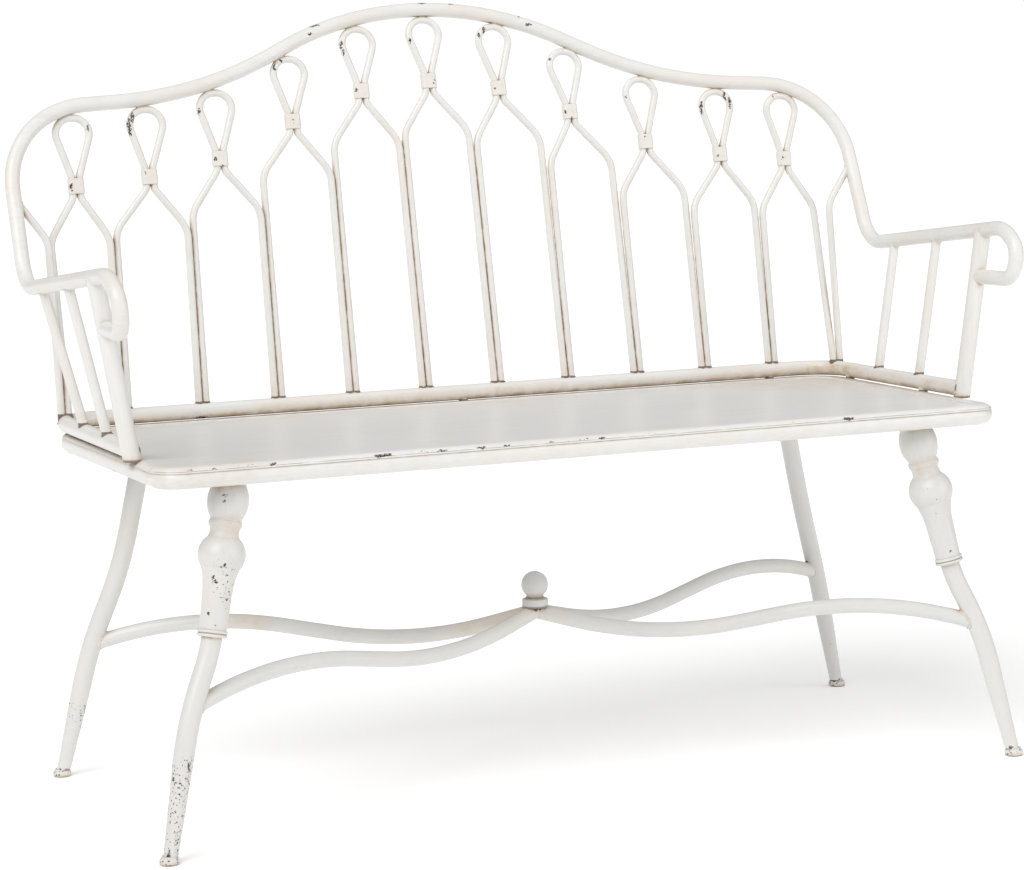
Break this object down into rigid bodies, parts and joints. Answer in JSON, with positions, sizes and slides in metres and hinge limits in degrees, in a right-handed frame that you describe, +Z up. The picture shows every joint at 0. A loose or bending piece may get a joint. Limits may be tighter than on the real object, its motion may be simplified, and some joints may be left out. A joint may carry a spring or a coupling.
{
  "type": "garden bench",
  "caption": "Painted metal garden bench with an arched back of looped rods, scrolled arms, a flat sheet seat and splayed legs tied by a waved cross stretcher.",
  "frame": {"origin": "on the ground under the middle of the bench's overall box", "axes": "+X along the bench, to the right as seen from the front, +Y to the back, +Z up"},
  "size_m": [1.1984, 0.608, 0.9762],
  "materials": {
    "frame_paint": "brushed-on off-white paint, worn and chipped, warm glaze in the joints",
    "rod_paint": "off-white paint with warm glaze and dark chips down to the steel",
    "seat_paint": "off-white satin paint, faint brush marks, chipped along the rolled edge",
    "leg_paint": "off-white paint with dark speckled wear near the ground",
    "casting_paint": "off-white paint over turned iron, chipped on the swellings",
    "zinc_fixings": "dull zinc plate"
  },
  "bodies": {
    "root": {"arm_rod_1_left": "rod_paint", "arm_rod_1_right": "rod_paint", "arm_rod_2_left": "rod_paint", "arm_rod_2_right": "rod_paint", "back_loop_01": "rod_paint", "back_loop_02": "rod_paint", "back_loop_03": "rod_paint", "back_loop_04": "rod_paint", "back_loop_05": "rod_paint", "back_loop_06": "rod_paint", "back_loop_07": "rod_paint", "back_loop_08": "rod_paint", "back_loop_09": "rod_paint", "back_loop_10": "rod_paint", "back_loop_11": "rod_paint", "end_rod_left": "rod_paint", "end_rod_right": "rod_paint", "finial": "casting_paint", "foot_front_left": "casting_paint", "foot_front_right": "casting_paint", "foot_rear_left": "casting_paint", "foot_rear_right": "casting_paint", "front_post_left": "frame_paint", "front_post_right": "frame_paint", "leg_bolts": "zinc_fixings", "leg_front_left": "leg_paint", "leg_front_right": "leg_paint", "leg_nuts": "zinc_fixings", "leg_plate_front_left": "frame_paint", "leg_plate_front_right": "frame_paint", "leg_plate_rear_left": "frame_paint", "leg_plate_rear_right": "frame_paint", "leg_rear_left": "leg_paint", "leg_rear_right": "leg_paint", "leg_ring_left": "casting_paint", "leg_ring_right": "casting_paint", "leg_sleeve_left": "casting_paint", "leg_sleeve_right": "casting_paint", "loop_collars": "rod_paint", "rail_bolts": "zinc_fixings", "rail_spacers": "frame_paint", "seat_brace": "frame_paint", "seat_cleat_left": "frame_paint", "seat_cleat_right": "frame_paint", "seat_frame": "frame_paint", "seat_panel": "seat_paint", "seat_rail": "frame_paint", "stretcher_cap": "casting_paint", "stretcher_front_left": "leg_paint", "stretcher_front_right": "leg_paint", "stretcher_rear_left": "leg_paint", "stretcher_rear_right": "leg_paint", "top_bow": "frame_paint"}
  },
  "joints": []
}
